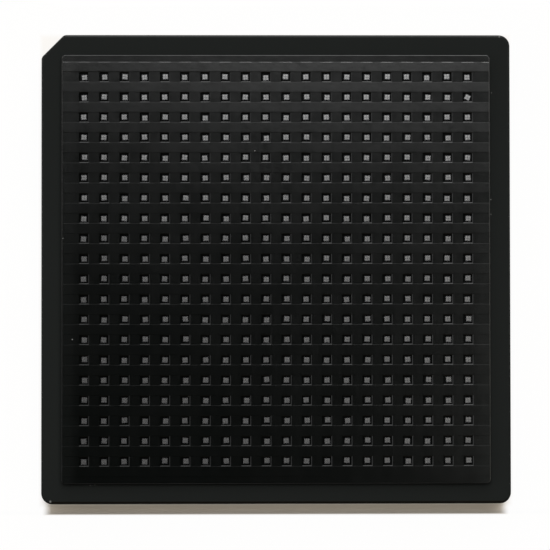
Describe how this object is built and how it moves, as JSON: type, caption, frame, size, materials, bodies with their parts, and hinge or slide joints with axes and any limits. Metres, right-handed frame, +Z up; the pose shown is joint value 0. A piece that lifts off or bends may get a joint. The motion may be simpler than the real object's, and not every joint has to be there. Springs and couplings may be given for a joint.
{
  "type": "loaded die tray",
  "caption": "Square black moulded chip tray with a cut corner and a raised field of pockets in rows, each pocket holding a loose bare transistor array die.",
  "frame": {"origin": "centre of the tray's underside, on the surface that it stands on", "axes": "+Z up out of the pockets, +X along the pocket rows, +Y towards the first row; the cut corner is at -X +Y"},
  "size_m": [0.0508, 0.0508, 0.004],
  "materials": {
    "tray_plastic": "black carbon-filled static-safe plastic, satin from the mould",
    "die_silicon": "grey sawn silicon with a metallised face"
  },
  "bodies": {
    "root": {"tray": "tray_plastic", "die_row_01": "die_silicon", "die_row_02": "die_silicon", "die_row_03": "die_silicon", "die_row_04": "die_silicon", "die_row_05": "die_silicon", "die_row_06": "die_silicon", "die_row_07": "die_silicon", "die_row_08": "die_silicon", "die_row_09": "die_silicon", "die_row_10": "die_silicon", "die_row_11": "die_silicon", "die_row_12": "die_silicon", "die_row_13": "die_silicon", "die_row_14": "die_silicon", "die_row_15": "die_silicon", "die_row_16": "die_silicon", "die_row_17": "die_silicon", "die_row_18": "die_silicon", "die_row_19": "die_silicon", "die_row_20": "die_silicon"}
  },
  "joints": []
}
